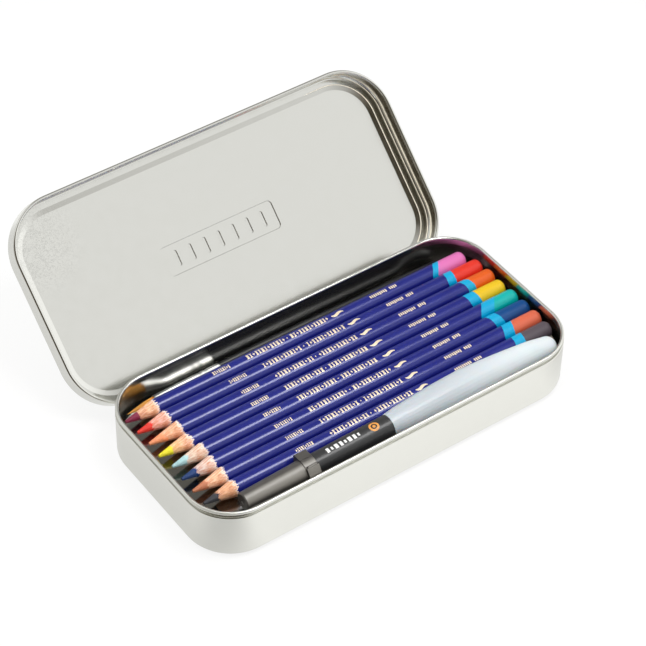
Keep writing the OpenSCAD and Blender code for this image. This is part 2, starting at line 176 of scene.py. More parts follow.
# Plaque: its pressed edges are rounded by a little less than the thickness of the sheet
def ease_plaque(tree, place, middle):
    eased = add(tree, "Bevel", {"Radius": PLAQUE_EDGE * MM}, samples=6)
    plain = add(tree, "NewGeometry", take="Normal")
    away = add(tree, "VectorMath", {
        "Vector": place, "Vector_001": middle}, take="Value", operation="DISTANCE")
    near = add(tree, "Math", {"Value": away, "Value_001": PLAQUE_REACH}, operation="LESS_THAN")
    return add(tree, "Mix", {"Factor": near, "A": plain, "B": eased}, data_type="VECTOR")


def satin_tinplate(name, colour, satin, ironed=None, rolled_above=None, stretched_at=None, plaque_at=None):
    material, tree = new_material(name)
    place = millimetres(tree)
    # rolling grain 0.5 mm wide, and tin mottling about 5 mm across
    along = add(tree, "VectorMath", {"Vector": place, "Vector_001": (0.04, 1.0, 1.0)}, operation="MULTIPLY")
    grain = add(tree, "TexNoise", {
        "Vector": along, "Scale": 2.0, "Detail": 2.0, "Roughness": 0.5}, take="Fac")
    mottle = add(tree, "TexNoise", {
        "Vector": place, "Scale": 0.2, "Detail": 4.0, "Roughness": 0.55}, take="Fac")
    light, dark = (paint(code) for code in colour)
    shade = add(tree, "Mix", {"Factor": mottle, "A": light, "B": dark}, data_type="RGBA")
    shade = paint_fold_shade(tree, shade)
    dull = add(tree, "MapRange", {
        "Value": mottle, "From Min": 0.3, "From Max": 0.7, "To Min": satin - 0.02, "To Max": satin + 0.03})
    if rolled_above:
        # the tin coat goes matt where the edge of the sheet is rolled over the wire
        z = add(tree, "SeparateXYZ", {"Vector": place}, take="Z")
        rolled = add(tree, "MapRange", {
            "Value": z, "From Min": rolled_above - 0.3, "From Max": rolled_above, "To Max": 0.26})
        dull = add(tree, "Math", {"Value": dull, "Value_001": rolled}, operation="ADD")
    if stretched_at:
        shade = draw_stretch_lines(tree, place, shade, stretched_at)
    if ironed:
        inner = find_inner_walls(tree, place)
        dull = add(tree, "Mix", {"Factor": inner, "A": dull, "B": ironed}, data_type="FLOAT")
        # painted shade: the inner walls' colour is taken down to 0.8 of the rest
        painted_inner_shade = add(tree, "MapRange", {"Value": inner, "To Min": 1.0, "To Max": 0.8})
        shade = add(tree, "VectorMath", {"Vector": shade, "Scale": painted_inner_shade}, operation="SCALE")
    relief = {"Strength": 0.05, "Distance": 0.01 * MM, "Height": grain}
    if plaque_at:
        relief["Normal"] = ease_plaque(tree, place, plaque_at)
    shader = add(tree, "BsdfPrincipled", {
        "Base Color": shade, "Metallic": 1.0, "Roughness": dull, "Normal": add(tree, "Bump", relief)})
    add(tree, "OutputMaterial", {"Surface": shader})
    return material


# Pressed ridges at the right-hand end of the lid, in a painted highlight: matt and creamy, standing in
# for the bright lines along the lid's steps
def painted_highlight_ridge():
    material, tree = new_material("painted_highlight_ridge")
    speckle = add(tree, "TexNoise", {"Vector": millimetres(tree), "Scale": 1.5, "Detail": 2.0}, take="Fac")
    shade = add(tree, "Mix", {
        "Factor": speckle, "A": paint("#fff8e8"), "B": paint("#fbf2dc")}, data_type="RGBA")
    shader = add(tree, "BsdfPrincipled", {"Base Color": shade, "Roughness": 0.4})
    add(tree, "OutputMaterial", {"Surface": shader})
    return material


# Bright pressed sheet of the insert tray: nearly a mirror, with a slight ripple 12 mm across
def bright_tray_sheet():
    material, tree = new_material("bright_pressed_sheet")
    ripple = add(tree, "TexNoise", {"Vector": millimetres(tree), "Scale": 0.08, "Detail": 2.0}, take="Fac")
    bump = add(tree, "Bump", {"Strength": 0.3, "Distance": 0.15 * MM, "Height": ripple})
    shader = add(tree, "BsdfPrincipled", {
        "Base Color": paint("#a5a39d"), "Metallic": 1.0, "Roughness": 0.16, "Normal": bump})
    add(tree, "OutputMaterial", {"Surface": shader})
    return material


# Each pencil from the hinge to the front: the colours of its dip, core and wood, the X where the dip
# starts, the width of the blue ring, and how far the ring's edge slants with Y and with Z
Pencil = namedtuple("Pencil", "dip core cedar dip_x ring_w slant_y slant_z")
PENCILS = [
    Pencil("#d06daa", "#8a2244", "#ffd0a4", 72.3, 3.0, 0.65, 0.0),
    Pencil("#d22e1e", "#ea382a", "#f6bdae", 74.8, 4.1, 0.16, -0.2),
    Pencil("#d35712", "#ffa070", "#f8c39c", 76.9, 3.9, -0.38, 0.1),
    Pencil("#d8b216", "#f6e82a", "#ffc8a4", 75.4, 5.2, -0.10, -0.25),
    Pencil("#00a59f", "#aed4d6", "#ecdcc4", 78.7, 7.0, 0.74, -0.1),
    Pencil("#00407b", "#1a3c74", "#e8d8ca", 74.8, 4.6, -0.27, -0.2),
    Pencil("#ca6044", "#c87c58", "#fad0aa", 76.3, 5.2, 0.39, -0.2),
    Pencil("#524950", "#3a3a40", "#f4bc90", 75.6, 5.0, 0.20, -0.2),
]
PENCIL_NUMBERS = range(1, len(PENCILS) + 1)
NAVY, NAVY_LIGHT, NAVY_SPECK, RING_BLUE = "#12176a", "#1a2278", "#5a5ab0", "#009cc8"
CEDAR_DARK, CEDAR_TORN, CEDAR_FRINGE = "#cc8660", "#fff0e6", "#fbe8dc"
PEARL = (0.12, 0.2, 1.0, 1.0)
PENCIL_RADIUS = 3.75
CONE_LENGTH = 14.6
# the dip starts this far past its X, for the wobble of its edge
DIP_WOBBLE = 0.25
# Sharpener's edge: the reach of the lacquer's scallops and teeth, how far its edge lies before the
# cone's end, and where the pale fringe starts and is full
SCALLOP_REACH, TOOTH_REACH, LACQUER_BACK = 3.2, 3.0, 3.2
FRINGE_START, FRINGE_FULL = 4.3, 3.3
# Core's edge: the same three, and how far its dust lies on the cedar and how thickly
CORE_SCALLOP, CORE_TOOTH, CORE_BACK = 5.0, 3.4, 3.6
DUST_LENGTH, DUST_SHARE = 6.0, 0.42
CORE_LENGTH = (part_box("pencil_1_barrel")[0].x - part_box("pencil_1_core")[0].x) / MM


def pencil_axis(number):
    low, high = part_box(f"pencil_{number}_dip")
    return (low.y + high.y) / 2 / MM, (low.z + high.z) / 2 / MM


# Lacquer: navy, then the slanted blue ring, then the dipped end. Returns its colour, where the ring
# and the dip are, and the navy's cloudiness.
def dipped_lacquer(tree, place, centred, pencil):
    # slanted place along the pencil, and a slight wobble of the ring's edges
    slant = (1.0, -pencil.slant_y, -pencil.slant_z)
    slanted = add(tree, "VectorMath", {
        "Vector": centred, "Vector_001": slant}, take="Value", operation="DOT_PRODUCT")
    wobble = add(tree, "TexNoise", {"Vector": centred, "Scale": 0.5, "Detail": 1.0}, take="Fac")
    wavy = add(tree, "Math", {
        "Value": wobble, "Value_001": 0.5, "Value_002": slanted}, operation="MULTIPLY_ADD")
    dip_edge = pencil.dip_x + DIP_WOBBLE
    in_dip = add(tree, "Math", {"Value": wavy, "Value_001": dip_edge}, operation="GREATER_THAN")
    in_ring = add(tree, "Math", {
        "Value": wavy, "Value_001": dip_edge - pencil.ring_w}, operation="GREATER_THAN")
    # fine pale specks 0.15 mm across, drawn at 0.3 mm so that they show
    speck = add(tree, "TexNoise", {"Vector": place, "Scale": 3.2, "Detail": 1.0}, take="Fac")
    specks = add(tree, "MapRange", {
        "Value": speck, "From Min": 0.66, "From Max": 0.76, "To Min": 0.0, "To Max": 0.35})
    cloud = add(tree, "TexNoise", {"Vector": place, "Scale": 0.12, "Detail": 3.0}, take="Fac")
    colour = add(tree, "Mix", {
        "Factor": cloud, "A": paint(NAVY), "B": paint(NAVY_LIGHT)}, data_type="RGBA")
    for factor, layer in ((specks, NAVY_SPECK), (in_ring, RING_BLUE), (in_dip, pencil.dip)):
        colour = add(tree, "Mix", {"Factor": factor, "A": colour, "B": paint(layer)}, data_type="RGBA")
    return colour, in_ring, cloud


# Sharpened cedar: the grain runs along the pencil, in lines about 0.4 mm apart, with pale torn fibres.
# Returns its colour, where the lacquer is still on it, and its grain.
def sharpened_cedar(tree, centred, number, pencil):
    x = add(tree, "SeparateXYZ", {"Vector": centred}, take="X")
    tip_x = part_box(f"pencil_{number}_core")[0].x / MM
    lengthwise = add(tree, "VectorMath", {
        "Vector": centred, "Vector_001": (0.12, 1.0, 1.0)}, operation="MULTIPLY")
    grain = add(tree, "TexNoise", {
        "Vector": lengthwise, "Scale": 1.6, "Detail": 4.0, "Roughness": 0.6, "Distortion": 0.3}, take="Fac")
    lines = add(tree, "MapRange", {"Value": grain, "From Min": 0.35, "From Max": 0.68})
    torn = add(tree, "TexNoise", {"Vector": lengthwise, "Scale": 3.4, "Detail": 2.0}, take="Fac")
    fibres = add(tree, "MapRange", {"Value": torn, "From Min": 0.60, "From Max": 0.68, "To Max": 0.6})

    # sharpener's edge: the lacquer ends in uneven scallops with fine teeth, over a pale torn fringe
    round_place = add(tree, "VectorMath", {
        "Vector": centred, "Vector_001": (0.0, 0.28, 0.28)}, operation="MULTIPLY")
    shifted = add(tree, "VectorMath", {
        "Vector": round_place, "Vector_001": (number * 7.3, 0.0, 0.0)}, operation="ADD")
    scallop = add(tree, "TexNoise", {"Vector": shifted, "Scale": 1.0, "Detail": 1.0}, take="Fac")
    teeth = add(tree, "TexNoise", {"Vector": lengthwise, "Scale": 2.6, "Detail": 1.0}, take="Fac")
    edge = add(tree, "Math", {
        "Value": scallop, "Value_001": -SCALLOP_REACH, "Value_002": x}, operation="MULTIPLY_ADD")
    edge = add(tree, "Math", {
        "Value": teeth, "Value_001": -TOOTH_REACH, "Value_002": edge}, operation="MULTIPLY_ADD")
    cone_end = tip_x + CONE_LENGTH
    painted = add(tree, "Math", {
        "Value": edge, "Value_001": cone_end - LACQUER_BACK}, operation="GREATER_THAN")
    fringe = add(tree, "MapRange", {
        "Value": edge, "From Min": cone_end - FRINGE_START, "From Max": cone_end - FRINGE_FULL})

    # pigment dust near the core, and the core's own uneven edge
    core_end = tip_x + CORE_LENGTH
    dusty = add(tree, "MapRange", {
        "Value": x, "From Min": core_end, "From Max": core_end + DUST_LENGTH,
        "To Min": DUST_SHARE, "To Max": 0.0})
    dust = add(tree, "Math", {"Value": dusty, "Value_001": torn}, operation="MULTIPLY")
    bared = add(tree, "Math", {
        "Value": scallop, "Value_001": -CORE_SCALLOP, "Value_002": x}, operation="MULTIPLY_ADD")
    bared = add(tree, "Math", {
        "Value": teeth, "Value_001": -CORE_TOOTH, "Value_002": bared}, operation="MULTIPLY_ADD")
    bared = add(tree, "Math", {
        "Value": bared, "Value_001": core_end - CORE_BACK}, operation="LESS_THAN")

    colour = paint(pencil.cedar)
    layers = ((lines, CEDAR_DARK), (fibres, CEDAR_TORN), (fringe, CEDAR_FRINGE),
              (dust, pencil.core), (bared, pencil.core))
    for factor, layer in layers:
        colour = add(tree, "Mix", {"Factor": factor, "A": colour, "B": paint(layer)}, data_type="RGBA")
    return colour, painted, grain


# Finish of one pencil, built from the place along and across it, so that its pieces line up: gloss
# navy lacquer with a little pearl in it over dull sharpened cedar
def pencil_finish(number):
    pencil = PENCILS[number - 1]
    material, tree = new_material(f"navy_lacquer_{number}")
    place = millimetres(tree)
    axis_y, axis_z = pencil_axis(number)
    centred = add(tree, "VectorMath", {
        "Vector": place, "Vector_001": (0.0, axis_y, axis_z)}, operation="SUBTRACT")
    lacquer, in_ring, cloud = dipped_lacquer(tree, place, centred, pencil)
    wood, painted, grain = sharpened_cedar(tree, centred, number, pencil)
    colour = add(tree, "Mix", {"Factor": painted, "A": wood, "B": lacquer}, data_type="RGBA")
    roughness = add(tree, "MapRange", {"Value": painted, "To Min": 0.62, "To Max": 0.36})
    varnish = add(tree, "MapRange", {"Value": in_ring, "To Min": 0.85, "To Max": 0.3})
    gloss = add(tree, "Math", {"Value": painted, "Value_001": varnish}, operation="MULTIPLY")
    # the pearl gives the navy a blue sheen of its own
    sheen = add(tree, "Mix", {"Factor": in_ring, "A": PEARL, "B": WHITE}, data_type="RGBA")
    fibre = add(tree, "Mix", {"Factor": painted, "A": grain, "B": cloud}, data_type="FLOAT")
    bump = add(tree, "Bump", {"Strength": 0.25, "Distance": 0.08 * MM, "Height": fibre})
    shader = add(tree, "BsdfPrincipled", {
        "Base Color": colour, "Roughness": roughness, "Normal": bump, "Specular Tint": sheen,
        "Coat Weight": gloss, "Coat Roughness": 0.2, "Coat IOR": 1.6, "Specular IOR Level": 0.25})
    add(tree, "OutputMaterial", {"Surface": shader})
    return material


# Water-soluble pigment core: dull and gritty, with grains of 0.7 mm
def pigment_core(number):
    material, tree = new_material(f"pigment_core_{number}")
    grit = add(tree, "TexNoise", {"Vector": millimetres(tree), "Scale": 1.5, "Detail": 4.0}, take="Fac")
    base = paint(PENCILS[number - 1].core)
    deep = tuple(c * 0.75 for c in base[:3]) + (1.0,)
    colour = add(tree, "Mix", {"Factor": grit, "A": base, "B": deep}, data_type="RGBA")
    bump = add(tree, "Bump", {"Strength": 0.35, "Distance": 0.1 * MM, "Height": grit})
    shader = add(tree, "BsdfPrincipled", {"Base Color": colour, "Roughness": 0.5, "Normal": bump})
    add(tree, "OutputMaterial", {"Surface": shader})
    return material


# Hot-stamped gold foil: thin and pale, slightly uneven where it sits on the lacquer
def gold_foil():
    material, tree = new_material("hot_stamped_gold_foil")
    worn = add(tree, "TexNoise", {"Vector": millimetres(tree), "Scale": 2.5, "Detail": 2.0}, take="Fac")
    colour = add(tree, "Mix", {
        "Factor": worn, "A": paint("#fbefd8"), "B": paint("#e6cda4")}, data_type="RGBA")
    shader = add(tree, "BsdfPrincipled", {"Base Color": colour, "Metallic": 0.25, "Roughness": 0.4})
    add(tree, "OutputMaterial", {"Surface": shader})
    return material


# Plain moulded or painted finishes that differ only in numbers: a faint cloudiness 0.8 mm across, and
# edges that are never knife-sharp. A painted highlight towards one end has its colour and the X where it
# starts and is full.
def plastic(name, colour, roughness, coat=0.0, scatter=0.0, highlight_end=None):
    material, tree = new_material(name)
    place = millimetres(tree)
    grain = add(tree, "TexNoise", {"Vector": place, "Scale": 1.2, "Detail": 3.0}, take="Fac")
    light, dark = (paint(code) for code in colour)
    shade = add(tree, "Mix", {"Factor": grain, "A": light, "B": dark}, data_type="RGBA")
    if highlight_end:
        end_colour, start, full = highlight_end
        x = add(tree, "SeparateXYZ", {"Vector": place}, take="X")
        painted_highlight = add(tree, "MapRange", {
            "Value": x, "From Min": start, "From Max": full}, interpolation_type="SMOOTHSTEP")
        shade = add(tree, "Mix", {"Factor": painted_highlight, "A": shade, "B": paint(end_colour)}, data_type="RGBA")
    eased = add(tree, "Bevel", {"Radius": 0.2 * MM}, samples=4)
    bump = add(tree, "Bump", {"Strength": 0.2, "Distance": 0.02 * MM, "Height": grain, "Normal": eased})
    shader = add(tree, "BsdfPrincipled", {
        "Base Color": shade, "Roughness": roughness, "Coat Weight": coat, "Coat Roughness": 0.12,
        "Subsurface Weight": scatter, "Subsurface Scale": 0.003, "IOR": 1.49, "Normal": bump})
    add(tree, "OutputMaterial", {"Surface": shader})
    return material


# Smoky translucent plastic of the cap, with painted light: lighter at its thin edges, and painted light along
# the side turned to the lamp, where the wall behind would shine through. Its closed end looks down the
# cap's length, and has painted shade that makes it nearly black.
def smoky_plastic():
    material, tree = new_material("smoky_translucent_plastic")
    cloud = add(tree, "TexNoise", {"Vector": millimetres(tree), "Scale": 0.35, "Detail": 3.0}, take="Fac")
    outward = add(tree, "NewGeometry", take="Normal")
    turned = add(tree, "VectorMath", {
        "Vector": outward, "Vector_001": (0.0, -0.64, 0.77)}, take="Value", operation="DOT_PRODUCT")
    painted_glow = add(tree, "MapRange", {
        "Value": turned, "From Min": 0.72, "From Max": 1.0}, interpolation_type="SMOOTHSTEP")
    # painted light on the thin edges
    edge = add(tree, "LayerWeight", {"Blend": 0.25}, take="Facing")
    pale = add(tree, "MapRange", {"Value": edge, "From Min": 0.55, "From Max": 0.95, "To Max": 0.7})
    # painted shade on the closed end
    end_on = add(tree, "SeparateXYZ", {"Vector": add(tree, "NewGeometry", take="True Normal")}, take="X")
    deep = add(tree, "MapRange", {"Value": end_on, "From Min": -0.9, "From Max": -0.98, "To Max": 0.85})
    shade = paint("#524f4b")
    for factor, layer in ((cloud, "#44413e"), (painted_glow, "#8e8a83"), (pale, "#8e8b86"), (deep, "#2c2a28")):
        shade = add(tree, "Mix", {"Factor": factor, "A": shade, "B": paint(layer)}, data_type="RGBA")
    eased = add(tree, "Bevel", {"Radius": 0.35 * MM}, samples=4)
    bump = add(tree, "Bump", {"Strength": 0.2, "Distance": 0.03 * MM, "Height": cloud, "Normal": eased})
    shader = add(tree, "BsdfPrincipled", {
        "Base Color": shade, "Roughness": 0.42, "Coat Weight": 0.25, "Coat Roughness": 0.3,
        "Transmission Weight": 0.12, "IOR": 1.49, "Normal": bump})
    add(tree, "OutputMaterial", {"Surface": shader})
    return material


# Brush hair: streaks 0.1 mm wide along the brush, drawn at 0.25 mm so that they show
def brush_hair(name, light, dark):
    material, tree = new_material(name)
    along = add(tree, "VectorMath", {
        "Vector": millimetres(tree), "Vector_001": (0.06, 1.0, 1.0)}, operation="MULTIPLY")
    hair = add(tree, "TexNoise", {"Vector": along, "Scale": 4.0, "Detail": 3.0}, take="Fac")
    mixed = add(tree, "MapRange", {"Value": hair, "From Min": 0.35, "From Max": 0.65})
    colour = add(tree, "Mix", {"Factor": mixed, "A": paint(light), "B": paint(dark)}, data_type="RGBA")
    bump = add(tree, "Bump", {"Strength": 0.5, "Distance": 0.08 * MM, "Height": hair})
    shader = add(tree, "BsdfPrincipled", {"Base Color": colour, "Roughness": 0.45, "Normal": bump})
    add(tree, "OutputMaterial", {"Surface": shader})
    return material


# Nickel-plated brass of the ferrule: bright, with faint lines from the lathe
def nickel_plate():
    material, tree = new_material("nickel_plate")
    lines = add(tree, "TexWave", {
        "Vector": millimetres(tree), "Scale": 0.8, "Distortion": 0.4}, take="Fac", bands_direction="X")
    bump = add(tree, "Bump", {"Strength": 0.08, "Distance": 0.03 * MM, "Height": lines})
    shader = add(tree, "BsdfPrincipled", {
        "Base Color": paint("#dcdcda"), "Metallic": 1.0, "Roughness": 0.3, "Normal": bump})
    add(tree, "OutputMaterial", {"Surface": shader})
    return material


def dress(node, material):
    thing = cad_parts[node]
    thing.data.materials.clear()
    thing.data.materials.append(material)


TIN = satin_tinplate("satin_tinplate", ("#f3f3ee", "#f1f1ec"), 0.22,
                     ironed=0.24, rolled_above=ROLLED_RIM_Z)
LID = satin_tinplate("satin_tinplate_lid", ("#f1f1ed", "#efefea"), 0.16,
                     stretched_at=LID_LEFT_CORNER, plaque_at=opened(*PLAQUE_MIDDLE))
RIDGE_HIGHLIGHT = painted_highlight_ridge()
WIRE = satin_tinplate("drawn_wire", ("#cfcfca", "#bdbdb8"), 0.28)
# the barrel carries a painted highlight, lighter towards its tail from X 20 to 75
BARREL_SKIN = plastic("soft_translucent_plastic", ("#b7bdc2", "#b1b8bd"), 0.4, coat=0.12, scatter=0.2,
                      highlight_end=("#d1d7da", 20.0, 75.0))
CAP_PLASTIC = smoky_plastic()
dress("base_shell", TIN)
dress("lid_shell", LID)
dress("hinge_pin_left", WIRE)
dress("hinge_pin_right", WIRE)
dress("insert_tray", bright_tray_sheet())
for n in PENCIL_NUMBERS:
    finish = pencil_finish(n)
    dress(f"pencil_{n}_barrel", finish)
    dress(f"pencil_{n}_dip", finish)
    dress(f"pencil_{n}_core", pigment_core(n))
dress("brush_handle", plastic("black_gloss_lacquer", ("#101012", "#17171a"), 0.3, coat=0.35))
dress("water_brush_cap", CAP_PLASTIC)
dress("water_brush_bristles", brush_hair("white_nylon_hair", "#f2f2ee", "#c8c8c4"))
dress("water_brush_feed", plastic("white_moulded_plastic", ("#e8e8e4", "#dededa"), 0.4))
dress("water_brush_grip", plastic("black_satin_plastic", ("#242425", "#2e2e2f"), 0.45, coat=0.25))
dress("water_brush_barrel", BARREL_SKIN)


def mesh_piece(name, verts, faces, material, body, smooth=True):
    mesh = bpy.data.meshes.new(name)
    mesh.from_pydata([tuple(c * MM for c in v) for v in verts], [], faces)
    mesh.materials.append(material)
    piece = bpy.data.objects.new(name, mesh)
    scene.collection.objects.link(piece)
    if smooth:
        mesh.shade_smooth()
    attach(piece, body)
    return piece


# Turned piece: a profile of (distance along, radius) spun about a line in space
TURNED_SIDES, TURNED_SHARP = 48, 50


def turned_piece(name, origin, along, profile, material, body):
    side = along.cross(Vector((0, 0, 1))).normalized()
    over = side.cross(along)
    verts, faces = [], []
    for d, r in profile:
        for k in range(TURNED_SIDES):
            angle = 2 * math.pi * k / TURNED_SIDES
            verts.append(origin + along * d + (side * math.cos(angle) + over * math.sin(angle)) * r)
    for j in range(len(profile) - 1):
        for k in range(TURNED_SIDES):
            a, b = j * TURNED_SIDES + k, j * TURNED_SIDES + (k + 1) % TURNED_SIDES
            faces.append((a, b, b + TURNED_SIDES, a + TURNED_SIDES))
    piece = mesh_piece(name, verts, faces, material, body)
    piece.data.set_sharp_from_angle(angle=math.radians(TURNED_SHARP))
    return piece


# Foil marks: rows of slab-ended bars and diamonds, and a scroll, stamped along the top of each pencil.
# One entry per block: its start and end from the dip's end, half its height, and its kind.
MARKS = [
    (-130.8, -122.6, 0.90, "small"), (-114.0, -95.3, 1.15, "large"), (-93.9, -93.2, 0.40, "dot"),
    (-91.8, -73.3, 1.15, "large"), (-70.8, -64.6, 0.95, "scroll"),
    (-50.4, -41.8, 0.85, "fine"), (-40.2, -36.0, 0.85, "fine"),
]
FOIL_LIFT, FOIL_TURN = 0.012, 4
# bars: the rhythm of their widths and slab widths, where no slab means a diamond
BAR_RHYTHM = ((0.62, 0.22), (0.95, 0.16), (0.5, 0.24), (1.1, 0.0), (0.7, 0.2))
SLAB_THICK, SMALL_SCALE = 0.3, 0.62
FINE_WIDTH, FINE_PITCH, FINE_HEIGHTS = 0.58, 0.98, (1.0, 0.72, 0.72)
# gap after a bar, as it scales and as it stays, and how near the row's end the last mark may start
BAR_GAP, LEAST_GAP = 0.34, 0.06
FINE_MARGIN, BAR_MARGIN = 0.3, 0.4
# scroll: its swing, its thickness at the ends and what the middle adds, as shares of half its height
SCROLL_STEPS, SCROLL_SWING, SCROLL_THIN, SCROLL_SWELL = 12, 0.45, 0.25, 0.5


def foil_marks(number, material):
    axis_y, axis_z = pencil_axis(number)
    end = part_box(f"pencil_{number}_dip")[1].x / MM
    radius = PENCIL_RADIUS + FOIL_LIFT
    verts, faces = [], []

    # a stamped patch between two edges, each given at the patch's start and at its end
    def stamp(start, stop, low, high, steps=4):
        first = len(verts)
        for k in range(steps + 1):
            for x, foot, head in ((start, low[0], high[0]), (stop, low[1], high[1])):
                angle = math.radians(FOIL_TURN) + (foot + (head - foot) * k / steps) / radius
                verts.append((x, axis_y - radius * math.sin(angle), axis_z + radius * math.cos(angle)))
        for k in range(steps):
            a = first + 2 * k
            faces.append((a, a + 1, a + 3, a + 2))

    def bar(x, width, half, slab):
        stamp(x, x + width, (-half, -half), (half, half))
        for side in (-1, 1):
            low, high = sorted((side * half, side * (half - SLAB_THICK)))
            stamp(x - slab, x + width + slab, (low, low), (high, high), 1)

    def diamond(x, width, half):
        stamp(x, x + width / 2, (0, -half), (0, half))
        stamp(x + width / 2, x + width, (-half, 0), (half, 0))

    # a ribbon that swings once, thick in the middle
    def scroll(start, stop, half):
        step = (stop - start) / SCROLL_STEPS
        for k in range(SCROLL_STEPS):
            edges = []
            for t in (k / SCROLL_STEPS, (k + 1) / SCROLL_STEPS):
                swing = SCROLL_SWING * half * math.sin(2 * math.pi * t)
                thick = half * (SCROLL_THIN + SCROLL_SWELL * math.sin(math.pi * t))
                edges.append((swing - thick, swing + thick))
            low, high = zip(*edges)
            stamp(start + step * k, start + step * (k + 1), low, high, 3)

    def fine_row(x, stop, half):
        count = number
        while x < stop - FINE_MARGIN:
            tall = half * FINE_HEIGHTS[count % len(FINE_HEIGHTS)]
            stamp(x, x + FINE_WIDTH, (-half, -half), (tall, tall), 3)
            x += FINE_PITCH
            count += 1

    def bar_row(x, stop, half, scale):
        count = number
        while x < stop - BAR_MARGIN:
            width, slab = (value * scale for value in BAR_RHYTHM[count % len(BAR_RHYTHM)])
            if slab:
                bar(x + slab, width, half, slab)
            else:
                diamond(x, width, half)
            x += width + 2 * slab + BAR_GAP * scale + LEAST_GAP
            count += 1

    for start, stop, half, kind in MARKS:
        start, stop = end + start, end + stop
        if kind == "scroll":
            scroll(start, stop, half)
        elif kind == "dot":
            diamond(start, stop - start, half)
        elif kind == "fine":
            fine_row(start, stop, half)
        else:
            bar_row(start, stop, half, 1.0 if kind == "large" else SMALL_SCALE)
    mesh_piece(f"pencil_{number}_foil", verts, faces, material, f"pencil_{number}")


FOIL = gold_foil()
for n in PENCIL_NUMBERS:
    foil_marks(n, FOIL)

# Lid inside: three fine pressed ridges run round its right-hand end, by the step, in the corner and on
# the wall, in a matt cream painted highlight. Each has its inset from the lid's outside and its height,
# with the lid shut, the way it faces (0 in from the wall, 90 down from the top) and half its width.
LID_HALF_L, LID_HALF_W, LID_CORNER = 94.7, 46.35, 23.2
LID_RIDGES = [
    ("lid_ridge_step", 4.6, 30.7, 90, 0.2),
    ("lid_ridge_corner", 1.48, 30.54, 65, 0.2),
    ("lid_ridge_wall", 0.5, 29.1, 0, 0.35),
]
RIDGE_H = 0.15
# the ridges' ends sink into the sheet over a stretch of the long sides
RIDGE_START, RIDGE_FADE, RIDGE_SINK = 60.0, 11.5, 0.2
RIDGE_STEPS = 24


# The way round the lid's right-hand end: the centre that each place turns about, and its angle
def ridge_run():
    centre_x, centre_y = LID_HALF_L - LID_CORNER, LID_HALF_W - LID_CORNER
    straight = [RIDGE_START + (centre_x - RIDGE_START) * k / RIDGE_STEPS for k in range(RIDGE_STEPS)]
    run = [(x, -centre_y, 270) for x in straight]
    for side, first in ((-1, 270), (1, 0)):
        run += [(centre_x, side * centre_y, first + 90 * k / RIDGE_STEPS) for k in range(RIDGE_STEPS)]
    run += [(x, centre_y, 90) for x in [centre_x] + straight[::-1]]
    return run


def lid_ridge(name, inset, height, faces_deg, half_width):
    inward, down = math.cos(math.radians(faces_deg)), math.sin(math.radians(faces_deg))
    half_top = half_width / 2
    section = []
    for across, raised in ((-half_width, 0.0), (-half_top, RIDGE_H), (half_top, RIDGE_H), (half_width, 0.0)):
        section.append((inset + down * across + inward * raised, height + inward * across - down * raised))
    run = ridge_run()
    verts, faces = [], []
    for centre_x, centre_y, degrees in run:
        angle = math.radians(degrees)
        sunk = RIDGE_SINK * max(0, 1 - (centre_x - RIDGE_START) / RIDGE_FADE)
        for depth, z in section:
            reach = LID_CORNER - depth + inward * sunk
            x, y = centre_x + reach * math.cos(angle), centre_y + reach * math.sin(angle)
            verts.append(opened(x, y, z + down * sunk))
    sides = len(section)
    for i in range(len(run) - 1):
        for c in range(sides - 1):
            a, b = i * sides + c, (i + 1) * sides + c
            faces.append((a, b, b + 1, a + 1))
    mesh_piece(name, verts, faces, RIDGE_HIGHLIGHT, "lid", smooth=False)


for ridge in LID_RIDGES:
    lid_ridge(*ridge)

# Hinge liner: a shallow pressed rail along the back inner wall that covers the hinge openings. Its
# profile runs down the wall, as height and place in Y, and fades into the wall at both ends.
LINER = [
    (22.55, 42.47), (21.0, 42.42), (19.0, 42.27), (17.2, 42.13), (15.7, 42.1), (14.2, 42.13),
    (12.0, 42.45), (10.0, 42.9), (8.0, 43.35), (6.5, 43.62),
]
LINER_END, LINER_FADE, LINER_COLUMNS, WALL_Y = 70.0, 12.0, 70, 43.62


def hinge_liner():
    verts, faces = [], []
    for i in range(LINER_COLUMNS + 1):
        x = LINER_END * (2 * i / LINER_COLUMNS - 1)
        t = min(1, (LINER_END - abs(x)) / LINER_FADE)
        swell = t * t * (3 - 2 * t)
        for z, y in LINER:
            verts.append((x, WALL_Y - (WALL_Y - y) * swell, z))
    rows = len(LINER)
    for i in range(LINER_COLUMNS):
        for j in range(rows - 1):
            a = i * rows + j
            faces.append((a, a + 1, a + rows + 1, a + rows))
    mesh_piece("hinge_liner", verts, faces, TIN, "tin")


hinge_liner()

# Brush: a turned ferrule with two crimped rings, and a tuft of separate tapering hairs
BRUSH_Y, BRUSH_Z = 38.6, 12.1
FERRULE_START, FERRULE_END = (corner.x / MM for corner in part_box("brush_ferrule"))
FERRULE_RADIUS, FERRULE_FLARE, FERRULE_STEPS = 2.5, 0.5, 120
CRIMPS_FROM_END, CRIMP_DEPTH, CRIMP_WIDTH = (9.5, 6.5), 0.22, 0.45
# the mouth is rolled in over the hairs, and the tail, measured from the end, is rounded down to the
# handle; the two take up this much of the length
MOUTH = [(2.5, 2.18), (0.25, 2.2), (0.06, 2.28), (0, 2.36), (0.08, 2.46), (0.3, FERRULE_RADIUS)]
TAIL = [(-0.1, 2.96), (0, 2.88)]
BOTH_ENDS = 0.5
BRISTLE_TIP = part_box("brush_bristles")[0].x / MM
HAIRS, HAIR_STEPS, HAIR_SIDES, HAIR_RADIUS, HAIR_ROOT = 130, 7, 4, 0.17, 2.2
# a hair thins by this share to its tip, and leans in: evenly, and then in a curve near the tip
HAIR_TAPER, LEAN_IN, CURVE_IN, CURVE_POWER = 0.75, 0.10, 0.82, 2.4
